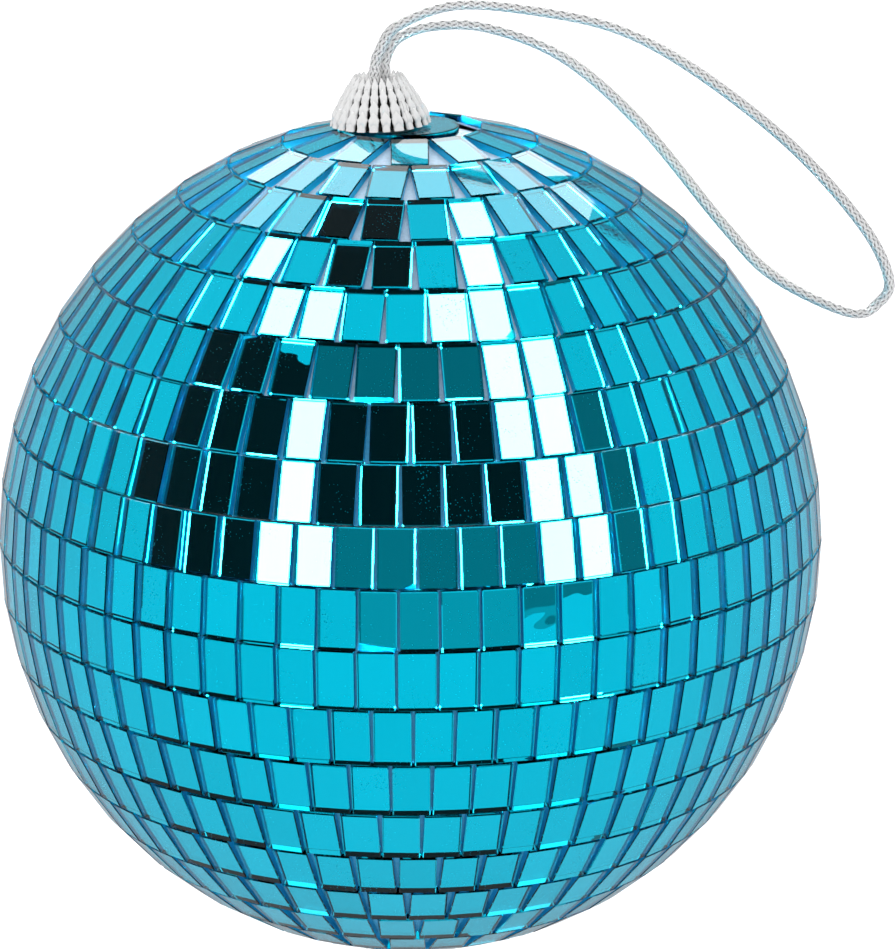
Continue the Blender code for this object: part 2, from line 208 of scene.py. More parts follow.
# ---- Settings ------------------------------------------------------------------------------------
class TileSettings(bpy.types.PropertyGroup):
    width: FloatProperty(
        name="Tile width", description="Width of one glass tile", default=6.35 * MM,
        unit="LENGTH", precision=5)
    upper_width: FloatProperty(
        name="Upper tile width", description="Width of a tile in the first rows, where it fits",
        default=6.6 * MM, unit="LENGTH", precision=5)
    thickness: FloatProperty(
        name="Tile thickness", description="Thickness of the glass", default=1.35 * MM,
        unit="LENGTH", precision=5)
    chamfer: FloatProperty(
        name="Chamfer", description="Width of the ground edge round a tile's face",
        default=0.16 * MM, unit="LENGTH", precision=5)
    tilt: FloatProperty(
        name="Tilt", description="Largest usual lean of a hand-laid tile off the ball's surface",
        default=math.radians(0.45), subtype="ANGLE")
    seed: IntProperty(
        name="Seed", description="Which set of small tilts the tiles have", default=11)
    mirror: FloatVectorProperty(
        name="Mirror colour", description="Colour of the lacquered mirror under the glass",
        default=linear("#6cd6dc"), subtype="COLOR", size=3)
    glass: FloatVectorProperty(
        name="Glass colour", description="Tint of the glass, seen through one thickness",
        default=linear("#10c6de"), subtype="COLOR", size=3)
    backing: FloatVectorProperty(
        name="Backing colour", description="Colour of the foam strip under the upper tiles",
        default=linear("#b4d2ea"), subtype="COLOR", size=3)
    # The lower rows' strip colour is painted shade and painted blue light from the glass edges in their
    # seams, not a glue stain
    lower_strip_painted_shade: FloatVectorProperty(
        name="Seam colour", description="Colour of the glue that fills the lower seams",
        default=linear("#3cb0e0"), subtype="COLOR", size=3)
    edge: FloatVectorProperty(
        name="Edge colour", description="Colour of the ground sides of a tile",
        default=linear("#30ccf4"), subtype="COLOR", size=3)


class CapSettings(bpy.types.PropertyGroup):
    rim: FloatProperty(
        name="Rim radius", description="Outer radius of the cap where it meets the ball",
        default=9.2 * MM, unit="LENGTH", precision=5)
    crown: FloatProperty(
        name="Crown radius", description="Outer radius of the cap at its top",
        default=4.3 * MM, unit="LENGTH", precision=5)
    leaves: IntProperty(
        name="Leaves", description="Pressed leaves round each tier", default=24)
    tiers: IntProperty(
        name="Tiers", description="Tiers of leaves", default=4)
    lean: FloatProperty(
        name="Lean", description="How far the pressed cap leans over", default=math.radians(-2.2),
        subtype="ANGLE")
    silver: FloatVectorProperty(
        name="Silver", description="Colour of the metallised cap",
        default=linear("#fafafa"), subtype="COLOR", size=3)


class CordSettings(bpy.types.PropertyGroup):
    diameter: FloatProperty(
        name="Cord diameter", description="Thickness of the braided cord", default=2.0 * MM,
        unit="LENGTH", precision=5)
    pitch: FloatProperty(
        name="Braid pitch", description="Length of one crossing of the braid",
        default=1.0 * MM, unit="LENGTH", precision=5)
    thread: FloatVectorProperty(
        name="Thread colour", description="Colour of the metallic thread's bright back",
        default=linear("#fbfbfb"), subtype="COLOR", size=3)


class StudioSettings(bpy.types.PropertyGroup):
    daylight: FloatProperty(
        name="White tent", description="Brightness of the white studio round the ball", default=0.0223)
    softbox: FloatProperty(
        name="Softboxes", description="Brightness of the softboxes seen in the tiles", default=20.0)
    floor: FloatVectorProperty(
        name="Floor colour", description="Colour of the pale floor",
        default=linear("#f4f5f7"), subtype="COLOR", size=3)


class MirrorBallSettings(bpy.types.PropertyGroup):
    tiles: PointerProperty(type=TileSettings)
    cap: PointerProperty(type=CapSettings)
    cord: PointerProperty(type=CordSettings)
    studio: PointerProperty(type=StudioSettings)


# ---- Rows of tiles -------------------------------------------------------------------------------
def skin_point(colatitude, depth):
    """Radius and height of a point this deep below the ball's surface, square to it."""
    normal = Vector((math.sin(colatitude) / EQUATOR, math.cos(colatitude) / POLE)).normalized()
    radius = EQUATOR * math.sin(colatitude) - depth * normal.x
    height = CENTRE.z + POLE * math.cos(colatitude) - depth * normal.y
    return Vector((radius, height))


def tile_count(index):
    """Tiles in a row: as many as fit round its shorter edge, in pairs."""
    edges = [FIRST_EDGE + (index + step) * ROW_PITCH for step in (0, 1)]
    shorter = min(math.sin(edge) for edge in edges)
    return 2 * round(math.tau * EQUATOR * shorter / TILE_PITCH / 2)


def row_edges(index):
    """Colatitudes of the top and the bottom of a row's tiles."""
    return (FIRST_EDGE + index * ROW_PITCH + HALF_ROW_GAP,
            FIRST_EDGE + (index + 1) * ROW_PITCH - HALF_ROW_GAP)


def tile_width(index, settings):
    """Width of a row's tiles, less where their corners would meet on its shorter edge."""
    shorter = min(skin_point(edge, 0).x for edge in row_edges(index))
    room = 2 * shorter * math.sin(math.pi / tile_count(index)) - TILE_GAP
    return min(settings.upper_width if index < UPPER_ROWS else settings.width, room)


def row_plane(index, width):
    """Top and bottom mid-points of a row's flat tiles, in (distance from the axis, height)."""
    points = []
    for edge in row_edges(index):
        corner = skin_point(edge, 0)
        points.append(Vector((math.sqrt(corner.x ** 2 - (width / 2) ** 2), corner.y)))
    return points


def tile_glass(settings):
    """Clear cut glass. It bends the view of the mirror behind it, and its edges show that mirror
    over and over, which turns them a deeper blue."""
    material, _, shader = new_material("clear_cut_glass")
    shader.inputs["Base Color"].default_value = (*settings.glass, 1)
    shader.inputs["Roughness"].default_value = 0.0
    shader.inputs["IOR"].default_value = 1.5
    shader.inputs["Transmission Weight"].default_value = 1.0
    shader.inputs["Specular Tint"].default_value = (*linear("#303030"), 1)
    return material


def ground_edge(settings):
    """Side of a tile, ground by the cutter and coated with the mirror: a blurred blue sheen."""
    material, tree, shader = new_material("ground_glass_edge")
    where = add(tree, "ShaderNodeTexCoord")
    chips = add(tree, "ShaderNodeTexNoise", {"Vector": where.outputs["Object"]},
                in_Scale=1 / (0.5 * MM), in_Detail=2.0)
    colour = add(tree, "ShaderNodeMix", {0: chips.outputs["Fac"]}, data_type="RGBA",
                 in_6=(*[part * 0.8 for part in settings.edge], 1), in_7=(*settings.edge, 1))
    tree.links.new(colour.outputs[2], shader.inputs["Base Color"])
    shader.inputs["Metallic"].default_value = 0.85
    shader.inputs["Roughness"].default_value = 0.35
    return material


def tile_mirror(settings):
    """Silvered and lacquered back of a glass tile, with a faint ripple and pinholes in the silver."""
    material, tree, shader = new_material("cyan_lacquered_mirror")
    where = add(tree, "ShaderNodeTexCoord")
    # pinholes about 0.12 mm across, crowded in some patches of silver and absent from others
    holes = add(tree, "ShaderNodeTexVoronoi", {"Vector": where.outputs["Object"]},
                in_Scale=1 / (0.5 * MM), in_Randomness=1.0)
    patch = add(tree, "ShaderNodeTexNoise", {"Vector": where.outputs["Object"]},
                in_Scale=1 / (9 * MM), in_Detail=2.0)
    limit = add(tree, "ShaderNodeMapRange", {"Value": patch.outputs["Fac"]},
                **{"in_From Min": 0.42, "in_From Max": 0.70, "in_To Min": 0.0, "in_To Max": 0.22})
    hole = add(tree, "ShaderNodeMath", {0: holes.outputs["Distance"], 1: limit.outputs[0]},
               operation="LESS_THAN")
    tone = add(tree, "ShaderNodeAttribute", attribute_name="tile_tone")
    shade = add(tree, "ShaderNodeMix", {0: tone.outputs["Fac"]}, data_type="RGBA",
                in_6=(*[part * 0.86 for part in settings.mirror], 1), in_7=(*settings.mirror, 1))
    colour = add(tree, "ShaderNodeMix", {0: hole.outputs[0], 6: shade.outputs[2]},
                 data_type="RGBA", in_7=(*linear("#e1f3f9"), 1))
    metal = add(tree, "ShaderNodeMath", {1: hole.outputs[0]}, operation="SUBTRACT", in_0=1.0)
    tree.links.new(colour.outputs[2], shader.inputs["Base Color"])
    tree.links.new(metal.outputs[0], shader.inputs["Metallic"])
    shader.inputs["Roughness"].default_value = 0.0
    # hand-cut sheet is never quite flat: a slow ripple bends what each tile mirrors
    ripple = add(tree, "ShaderNodeTexNoise", {"Vector": where.outputs["Object"]},
                 in_Scale=1 / (7 * MM), in_Detail=1.0)
    bump = add(tree, "ShaderNodeBump", {"Height": ripple.outputs["Fac"]}, in_Strength=1.0,
               in_Distance=0.02 * MM)
    tree.links.new(bump.outputs[0], shader.inputs["Normal"])
    return material


def strip_foam(name, shade):
    """Soft foam strip that the tiles are glued to, seen in the wedges between them. Under the lower rows
    it is painted a deeper blue: painted shade and painted blue light from the glass edges in their
    seams."""
    material, tree, shader = new_material(name)
    where = add(tree, "ShaderNodeTexCoord")
    cells = add(tree, "ShaderNodeTexNoise", {"Vector": where.outputs["Object"]},
                in_Scale=1 / (0.6 * MM), in_Detail=3.0)
    colour = add(tree, "ShaderNodeMix", {0: cells.outputs["Fac"]}, data_type="RGBA",
                 in_6=(*[part * 0.6 for part in shade], 1), in_7=(*shade, 1))
    bump = add(tree, "ShaderNodeBump", {"Height": cells.outputs["Fac"]}, in_Strength=0.6,
               in_Distance=0.1 * MM)
    tree.links.new(colour.outputs[2], shader.inputs["Base Color"])
    tree.links.new(bump.outputs[0], shader.inputs["Normal"])
    shader.inputs["Roughness"].default_value = 0.55
    return material


def add_strip(bm, index, width, thickness):
    """The thin strip under a row, one flat facet for each tile."""
    count = tile_count(index)
    top, bottom = row_plane(index, width)
    slope = (bottom - top).normalized()
    out = Vector((-slope.y, slope.x))
    outer = thickness + STRIP_DEPTH
    inner = outer + STRIP_THICKNESS
    profile = []
    for point, depth in ((top, outer), (bottom, outer), (bottom, inner), (top, inner)):
        place = point - out * depth
        profile.append((place.x / math.cos(math.pi / count), place.y))
    start = ROW_STARTS[index] * math.tau / count
    strip = turned(profile, count, start=start - math.pi / 2)
    for face in strip.faces:
        face.material_index = STRIP_FACE
    mesh = bpy.data.meshes.new("strip")
    strip.to_mesh(mesh)
    strip.free()
    bm.from_mesh(mesh)
    bpy.data.meshes.remove(mesh)


def tile_row(index, settings, materials, chance):
    """A row of separate glass tiles on their strip. The materials are the glass, the mirror, the
    strip and the tiles' ground sides."""
    count = tile_count(index)
    step = math.tau / count
    width = tile_width(index, settings)
    top, bottom = row_plane(index, width)
    slope = top - bottom
    height = slope.length
    out = Vector((slope.y, -slope.x)).normalized()
    middle = (top + bottom) / 2 - out * settings.thickness / 2
    bm = bmesh.new()
    tone = bm.faces.layers.float.new("tile_tone")
    for tile in range(count):
        angle = (ROW_STARTS[index] + tile + 0.5) * step
        ahead = Vector((math.sin(angle), -math.cos(angle), 0))
        up = ahead * slope.x / height + Vector((0, 0, slope.y / height))
        normal = ahead * out.x + Vector((0, 0, out.y))
        side = up.cross(normal)
        basis = Matrix((side, up, normal)).transposed().to_4x4()
        lean = (Matrix.Rotation(chance.gauss(0, settings.tilt / 2), 4, "X")
                @ Matrix.Rotation(chance.gauss(0, settings.tilt / 2), 4, "Y")
                @ Matrix.Rotation(chance.gauss(0, settings.tilt / 2), 4, "Z"))
        place = Matrix.Translation(ahead * middle.x + Vector((0, 0, middle.y))) @ basis @ lean
        size = Matrix.Diagonal((width, height, settings.thickness, 1))
        made = bmesh.ops.create_cube(bm, size=1, matrix=place @ size)
        faces = {face for vert in made["verts"] for face in vert.link_faces}
        shade = chance.random()
        for face in faces:
            face[tone] = shade
            face.normal_update()
            if face.normal.dot(normal) < -SAME_WAY:
                face.material_index = MIRROR_FACE
            elif abs(face.normal.dot(side)) > SAME_WAY:
                face.material_index = EDGE_FACE
            else:
                face.material_index = GLASS_FACE
    edges = [edge for edge in bm.edges
             if not any(face.material_index == MIRROR_FACE for face in edge.link_faces)]
    bmesh.ops.bevel(bm, geom=edges, offset=settings.chamfer, offset_type="OFFSET", segments=1,
                    profile=0.5, affect="EDGES", material=-1)
    for face in bm.faces:
        face.normal_update()
    add_strip(bm, index, width, settings.thickness)
    name = f"tile_row_{index + 1:02d}"
    finish_piece(f"glass_{name}", bm, BALL, materials, [name])


class MIRRORBALL_OT_tiles(bpy.types.Operator):
    """Twenty rows of mirrored glass tiles"""
    bl_idname = "mirrorball.tiles"
    bl_label = "Tile rows"

    def execute(self, context):
        settings = context.scene.mirror_ball.tiles
        glass = shared("clear_cut_glass", tile_glass, settings)
        mirror = shared("cyan_lacquered_mirror", tile_mirror, settings)
        upper_strip = strip_foam("white_foam_strip", settings.backing)
        # under the lower rows the strip is painted a deeper blue: painted shade and blue light in the
        # seams
        shaded_strip = strip_foam("strip_painted_blue_shade", settings.lower_strip_painted_shade)
        edge = ground_edge(settings)
        chance = random.Random(settings.seed)
        for index in range(ROW_COUNT):
            strip = upper_strip if index < UPPER_ROWS else shaded_strip
            tile_row(index, settings, [glass, mirror, strip, edge], chance)
        return {"FINISHED"}


# ---- Pole discs ----------------------------------------------------------------------------------
def glass_disc(node, centre, radius, up, settings, hole=None):
    """A round glass disc with its inner face silvered. `up` is 1 where it faces up and -1 where it
    faces down. `hole` is the centre and radius of an opening through it."""
    bm = bmesh.new()
    bmesh.ops.create_circle(bm, cap_ends=hole is None, segments=64, radius=radius)
    if hole:
        bmesh.ops.create_circle(bm, cap_ends=False, segments=64, radius=hole[1],
                                matrix=Matrix.Translation(hole[0]))
        bmesh.ops.bridge_loops(bm, edges=bm.edges[:])
    made = bmesh.ops.extrude_face_region(bm, geom=bm.faces[:])
    moved = [part for part in made["geom"] if isinstance(part, bmesh.types.BMVert)]
    bmesh.ops.translate(bm, verts=moved, vec=(0, 0, -up * settings.thickness))
    bmesh.ops.recalc_face_normals(bm, faces=bm.faces)
    rim = [edge for edge in bm.edges if edge.calc_face_angle(0) > 1     # the outer face's outlines
           and all(abs(vert.co.z) < 1e-6 for vert in edge.verts)]
    bmesh.ops.bevel(bm, geom=rim, offset=settings.chamfer, offset_type="OFFSET", segments=1,
                    profile=0.5, affect="EDGES", material=-1)
    for face in bm.faces:
        face.normal_update()
        face.material_index = MIRROR_FACE if face.normal.z * up < -SAME_WAY else GLASS_FACE
    bmesh.ops.translate(bm, verts=bm.verts, vec=centre)
    materials = [shared("clear_cut_glass", tile_glass, settings),
                 shared("cyan_lacquered_mirror", tile_mirror, settings)]
    finish_piece(f"glass_{node}", bm, BALL, materials, [node])


class MIRRORBALL_OT_discs(bpy.types.Operator):
    """Round mirrored glass discs that close the two openings"""
    bl_idname = "mirrorball.discs"
    bl_label = "Pole discs"

    def execute(self, context):
        settings = context.scene.mirror_ball.tiles
        top = Vector((TOP_DISC_SHIFT, 0, DISC_TOP))
        socket = (Vector((CAP_AXIS.x - top.x, 0, 0)), TOP_DISC_SOCKET)
        glass_disc("pole_disc_top", top, TOP_DISC_RADIUS, 1, settings, socket)
        glass_disc("pole_disc_bottom", Vector((0, 0, 0)), BOTTOM_DISC_RADIUS, -1, settings)
        return {"FINISHED"}


# ---- Foam core -----------------------------------------------------------------------------------
def bead_foam():
    """Expanded polystyrene: round beads 2 to 3 mm across, pressed together with fine creases, which are
    painted darker as shade.
    """
    material, tree, shader = new_material("expanded_polystyrene")
    where = add(tree, "ShaderNodeTexCoord")
    beads = add(tree, "ShaderNodeTexVoronoi", {"Vector": where.outputs["Object"]},
                feature="DISTANCE_TO_EDGE", in_Scale=1 / (2.6 * MM))
    # painted shade: the edges of the beads are darker than their middles
    colour = add(tree, "ShaderNodeValToRGB", {"Fac": beads.outputs["Distance"]},
                 ramp=((0.0, "#c9d2de"), (0.12, "#eef1f6")))
    bump = add(tree, "ShaderNodeBump", {"Height": beads.outputs["Distance"]}, in_Strength=0.5,
               in_Distance=0.3 * MM)
    tree.links.new(colour.outputs[0], shader.inputs["Base Color"])
    tree.links.new(bump.outputs[0], shader.inputs["Normal"])
    shader.inputs["Roughness"].default_value = 0.6
    return material


class MIRRORBALL_OT_core(bpy.types.Operator):
    """Foam halves inside the ball"""
    bl_idname = "mirrorball.core"
    bl_label = "Foam core"

    def execute(self, context):
        foam = bead_foam()
        dress("core_upper", foam)
        dress("core_lower", foam)
        return {"FINISHED"}


# ---- Cap and plug --------------------------------------------------------------------------------
def pressed_silver(settings):
    """Vacuum-metallised plastic: bright, with a fine crinkle, and darkened in the pressed grooves and
    creases: painted shade.
    """
    material, tree, shader = new_material("metallised_plastic")
    where = add(tree, "ShaderNodeTexCoord")
    groove = add(tree, "ShaderNodeAttribute", attribute_name="groove")
    # painted shade: the grooves and creases are coloured near black
    dark = add(tree, "ShaderNodeMapRange", {"Value": groove.outputs["Fac"]},
               **{"in_From Min": 0.25, "in_From Max": 0.6})
    colour = add(tree, "ShaderNodeMix", {0: dark.outputs[0]}, data_type="RGBA",
                 in_6=(*settings.silver, 1), in_7=(*linear("#1c1716"), 1))
    crinkle = add(tree, "ShaderNodeTexNoise", {"Vector": where.outputs["Object"]},
                  in_Scale=1 / (0.35 * MM), in_Detail=3.0)
    bump = add(tree, "ShaderNodeBump", {"Height": crinkle.outputs["Fac"]}, in_Strength=0.5,
               in_Distance=0.08 * MM)
    tree.links.new(colour.outputs[2], shader.inputs["Base Color"])
    tree.links.new(bump.outputs[0], shader.inputs["Normal"])
    shader.inputs["Metallic"].default_value = 0.5
    shader.inputs["Roughness"].default_value = 0.16
    return material


def white_plastic():
    """Injection-moulded polyethylene with a faint flow mottle."""
    material, tree, shader = new_material("moulded_polyethylene")
    where = add(tree, "ShaderNodeTexCoord")
    flow = add(tree, "ShaderNodeTexNoise", {"Vector": where.outputs["Object"]},
               in_Scale=1 / (3 * MM), in_Detail=2.0)
    colour = add(tree, "ShaderNodeValToRGB", {"Fac": flow.outputs["Fac"]},
                 ramp=((0.3, "#dfe0e0"), (0.7, "#ececec")))
    tree.links.new(colour.outputs[0], shader.inputs["Base Color"])
    shader.inputs["Roughness"].default_value = 0.42
    return material


def tier_height(settings):
    """Height of one tier. The tips of the last one reach 0.7 of a tier above its foot."""
    return CAP_HEIGHT / (settings.tiers + 0.7)


def leaf_relief(settings, angle, height):
    """How far a point of the cap stands in from its outline, and how much painted shade it gets in a
    groove or along a crease.
    Each tier's leaves have arched tips that stand out over the tier above. The groove between two
    leaves is a slit at their tips and opens downwards."""
    share = (angle * settings.leaves / math.tau) % 1.0
    leaf = math.floor(angle * settings.leaves / math.tau) % settings.leaves
    across = abs(share - 0.5) * 2                            # 0 mid leaf, 1 at the groove
    below = height / tier_height(settings) - 0.75 * (1 - across ** 1.5)
    tier = max(0, math.floor(below))
    if tier >= settings.tiers:
        return CROWN_STEP, 0.0
    rise = min(1.0, max(0.0, below - tier))                 # 0 where a leaf emerges, 1 at its tip
    chance = random.Random(leaf * 31 + tier)
    step = (0.10 if tier == 0 else 0.38) * MM * (1 - rise)  # in from the tips of the tier below
    belly = 0.22 * MM * math.sin(math.pi * rise ** 0.7)     # swell of a leaf along its height
    width = (0.08 + 0.36 * (1 - rise) ** 0.8) * chance.uniform(0.5, 1.15)      # of the groove
    groove = min(1.0, max(0.0, (across - 1 + width) / width * 2))
    fold = chance.uniform(0.3, 0.55)                        # a crease beside the leaf's middle
    crease = max(0.0, 1 - abs(across - fold) * 9) * chance.uniform(0, 1)
    round_back = 0.22 * MM * across ** 2
    inward = step - belly + round_back + 0.12 * MM * crease + 0.80 * MM * groove
    # the second value is painted shade, strongest in the grooves and along the creases
    return inward, max(groove, 0.55 * crease)


class MIRRORBALL_OT_cap(bpy.types.Operator):
    """Metallised cap with tiers of pressed leaves, and the plug under it"""
    bl_idname = "mirrorball.cap"
    bl_label = "Cap and plug"

    def execute(self, context):
        settings = context.scene.mirror_ball.cap
        taper = settings.rim - settings.crown
        outline = [(settings.rim - taper * step / CAP_STEPS, CAP_HEIGHT * step / CAP_STEPS)
                   for step in range(CAP_STEPS + 1)]
        floor = settings.tiers * tier_height(settings) - 0.3 * MM  # of the crown, inside its tips
        ceiling = floor - CROWN_WALL
        inside = [(CROWN_HOLE, floor), (CROWN_HOLE, ceiling),
                  (settings.crown - 1.3 * MM, ceiling), (settings.rim - RIM_WALL, 0)]
        bm = turned(outline + inside, settings.leaves * STEPS_PER_LEAF, start=-math.pi / 2)
        depth = bm.verts.layers.float.new("groove")
        for vert in bm.verts:
            radius = math.hypot(vert.co.x, vert.co.y)
            line = settings.rim - taper * vert.co.z / CAP_HEIGHT
            if abs(radius - line) > 0.05 * MM:              # on the inside, which isn't pressed
                continue
            angle = math.atan2(vert.co.x, -vert.co.y) % math.tau
            inward, groove = leaf_relief(settings, angle, vert.co.z)
            bulge = 0.45 * MM * math.sin(math.pi * vert.co.z / CAP_HEIGHT)
            # the groove attribute carries the painted shade for the cap's material
            vert[depth] = groove
            if inward == CROWN_STEP:
                vert.co.z = min(vert.co.z, floor)
            reach = (radius - inward + bulge) / radius
            vert.co.x *= reach
            vert.co.y *= reach
        place = Matrix.Translation(CAP_AXIS + Vector((0, 0, CAP_BASE)))
        lean_over = Matrix.Rotation(settings.lean, 4, "Y")
        bmesh.ops.transform(bm, matrix=place @ lean_over, verts=bm.verts)
        finish_piece("pressed_cap", bm, BALL, [pressed_silver(settings)], ["cap"], 60)
        dress("anchor_plug", white_plastic())
        return {"FINISHED"}


# ---- Cord ----------------------------------------------------------------------------------------
def smooth_between(before, start, end, after, share):
    """A point between two points of a route, on a curve that also heeds the points beyond them."""
    square, cube = share * share, share ** 3
    return (start * (2 * cube - 3 * square + 1) + end * (3 * square - 2 * cube)
            + (end - before) / 2 * (cube - 2 * square + share)
            + (after - start) / 2 * (cube - square))


def even_line(route, space):
    """Points at even spaces along a smooth curve through the route."""
    padded = [2 * route[0] - route[1], *route, 2 * route[-1] - route[-2]]
    fine = []
    for before, start, end, after in zip(padded, padded[1:], padded[2:], padded[3:]):
        fine += [smooth_between(before, start, end, after, part / 100) for part in range(100)]
    fine.append(route[-1])
    lengths = [0.0]
    for a, b in zip(fine, fine[1:]):
        lengths.append(lengths[-1] + (b - a).length)
    count = round(lengths[-1] / space)
    points, place = [], 0
    for index in range(count + 1):
        wanted = lengths[-1] * index / count
        while place < len(fine) - 2 and lengths[place + 1] < wanted:
            place += 1
        share = (wanted - lengths[place]) / max(lengths[place + 1] - lengths[place], 1e-12)
        points.append(fine[place].lerp(fine[place + 1], min(share, 1.0)))
    return points, lengths[-1]


def frames_along(points):
    """Two directions square to the line at each point, turning as little as they can."""
    ahead = (points[1] - points[0]).normalized()
    side = ahead.orthogonal().normalized()
    frames = []
    for index in range(len(points)):
        before, after = points[max(index - 1, 0)], points[min(index + 1, len(points) - 1)]
        ahead = (after - before).normalized()
        side = (side - ahead * side.dot(ahead)).normalized()
        frames.append((side, ahead.cross(side)))
    return frames


def braid(turn, along, strands):
    """Height of the braid, 0 in its gaps to 1 on a strand's back, at a turn (0 to 1) and a length
    along in crossings. Two sets of strands pass over and under each other."""
    one = turn * strands + along / 2
    two = turn * strands - along / 2
    ridge_one = math.cos(math.pi * ((one % 1.0) - 0.5))
    ridge_two = math.cos(math.pi * ((two % 1.0) - 0.5))
    over = (math.floor(one) + math.floor(two)) % 2
    first, second = (ridge_one, ridge_two) if over else (ridge_two, ridge_one)
    return max(first ** 0.6, 0.55 * second ** 0.6)


def metallic_thread(settings):
    """Braid of flat metallised thread: bright backs, with painted shade where threads dip under each
    other.
    """
    material, tree, shader = new_material("metallic_braid")
    height = add(tree, "ShaderNodeAttribute", attribute_name="braid")
    # painted shade: the ramp darkens the braid's gaps to near black
    colour = add(tree, "ShaderNodeValToRGB", {"Fac": height.outputs["Fac"]},
                 ramp=((0.28, "#1d1a1a"), (0.50, "#a2a3a5"), (0.80, settings.thread)))
    where = add(tree, "ShaderNodeTexCoord")
    glint = add(tree, "ShaderNodeTexNoise", {"Vector": where.outputs["Object"]},
                in_Scale=1 / (0.25 * MM), in_Detail=2.0)
    rough = add(tree, "ShaderNodeMapRange", {"Value": glint.outputs["Fac"]},
                **{"in_To Min": 0.15, "in_To Max": 0.5})
    tree.links.new(colour.outputs[0], shader.inputs["Base Color"])
    tree.links.new(rough.outputs[0], shader.inputs["Roughness"])
    shader.inputs["Metallic"].default_value = 0.7
    return material


class MIRRORBALL_OT_cord(bpy.types.Operator):
    """Braided hanging loop with its knot inside the plug"""
    bl_idname = "mirrorball.cord"
    bl_label = "Cord"

    def execute(self, context):
        settings = context.scene.mirror_ball.cord
        front = CAP_AXIS + Vector((-STRAND, -STRAND, 0))
        back = CAP_AXIS + Vector((STRAND, STRAND, 0))
        crown = CAP_AXIS + Vector((0, 0, CAP_BASE + CAP_HEIGHT))
        levels = [Vector((0, 0, z)) for z in (CORD_END_Z, CAP_BASE, crown.z)]
        route = [front + level for level in levels[:2]]
        route += [crown + Vector(point) for point in CORD_ROUTE]
        route += [back + level for level in reversed(levels)]
        points, length = even_line(route, CORD_SPACING)
        frames = frames_along(points)
        rings = len(points) - 1
        bm = bmesh.new()
        bmesh.ops.create_grid(bm, x_segments=CORD_SIDES, y_segments=rings, size=0.5)
        height = bm.verts.layers.float.new("braid")
        for vert in bm.verts:
            place = round((vert.co.y + 0.5) * rings)
            turn = vert.co.x + 0.5
            along = length * place / rings / settings.pitch
            vert[height] = braid(turn, along, BRAID_STRANDS)
            side, other = frames[place]
            angle = turn * math.tau
            reach = settings.diameter / 2 - BRAID_RELIEF * (1 - vert[height])
            vert.co = points[place] + (side * math.cos(angle) + other * math.sin(angle)) * reach
        bmesh.ops.remove_doubles(bm, verts=bm.verts, dist=0.01 * MM)
        rims = [edge for edge in bm.edges if edge.is_boundary]
        bmesh.ops.holes_fill(bm, edges=rims, sides=0)
        bmesh.ops.recalc_face_normals(bm, faces=bm.faces)
        thread = metallic_thread(settings)
        cord = finish_piece("braided_cord", bm, HANGER, [thread], ["cord_loop"], 80)
        dress("cord_knot", thread)
        return {"FINISHED"}


# ---- Studio --------------------------------------------------------------------------------------
# The lights are weak and the view is opened by six stops, so that no mirrored light is so strong
# that it gets clipped before it reaches the tiles' colours.
EXPOSURE = 6.0
TRACE = 0.05                       # most that a panel gives to anything but a first mirror
BLACK, DEEP_BLACK = 0.0004, 0.0003 # brightness of the panels other than softboxes
GREY, LIGHT_GREY, PALE_GREY = 0.0055, 0.0068, 0.0130
SHEEN = 0.10
NEAR, FAR, FARTHEST = 1.4, 1.45, 1.5             # metres from the ball's middle to a card
ROOF_HEIGHT = 1.6
FLOOR_RADIUS = 4.0
FLOOR_GLOW = 0.95                  # the floor's own light, as a share of the tent's
FLOOR_BASE = 0.15                  # and the share of its colour that other light shows

CAMERA_DISTANCE = 0.750
CAMERA_RISE = math.radians(16.73)
LENS, SENSOR = 155.229, 36.0       # millimetres, both for the frame's longer side
AIM_RIGHT, AIM_UP = 6.855 * MM, 10.374 * MM      # from the ball's middle


def plain_light(name, strength):
    """Even white light from a diffuser, or a dull black or grey card where it gives little. Foam,
    cord and cap see only a trace of it by way of the tiles."""
    material = bpy.data.materials.new(name)
    material.use_nodes = True
    tree = material.node_tree
    tree.nodes.clear()
    path = add(tree, "ShaderNodeLightPath")
    matt = add(tree, "ShaderNodeMath", {0: path.outputs["Diffuse Depth"]}, operation="LESS_THAN",
               in_1=0.5)
    first = add(tree, "ShaderNodeMapRange", {"Value": path.outputs["Glossy Depth"]},
                **{"in_From Min": 1.0, "in_From Max": 2.0, "in_To Min": strength,
                   "in_To Max": min(strength, TRACE)})
    level = add(tree, "ShaderNodeMath", {0: matt.outputs[0], 1: first.outputs[0]},
                operation="MULTIPLY")
    glow = add(tree, "ShaderNodeEmission", {"Strength": level.outputs[0]})
    add(tree, "ShaderNodeOutputMaterial", {"Surface": glow.outputs[0]})
    return material


def soft_to_gloss(tree, strength):
    """A strength that is cut to a third where a polished surface mirrors it directly, so that the
    white tent doesn't veil the glass."""
    path = add(tree, "ShaderNodeLightPath")
    outside = add(tree, "ShaderNodeMath", {0: path.outputs["Transmission Depth"]},
                  operation="LESS_THAN", in_1=0.5)
    shine = add(tree, "ShaderNodeMath", {0: path.outputs["Is Glossy Ray"], 1: outside.outputs[0]},
                operation="MULTIPLY")
    level = add(tree, "ShaderNodeMapRange", {"Value": shine.outputs[0]},
                **{"in_To Min": strength, "in_To Max": strength / 3})
    return level.outputs[0]


def add_panel(name, place, strength):
    """A flat panel that only mirrors under glass see, a unit square set in place by a matrix."""
    bm = bmesh.new()
    bmesh.ops.create_grid(bm, x_segments=1, y_segments=1, size=0.5)
    bmesh.ops.transform(bm, matrix=place, verts=bm.verts)
    panel = finish_piece(name, bm, None, [plain_light(name, strength)])
    panel.visible_camera = False
    panel.visible_diffuse = False
    panel.visible_shadow = False
    panel.visible_glossy = False
    return panel


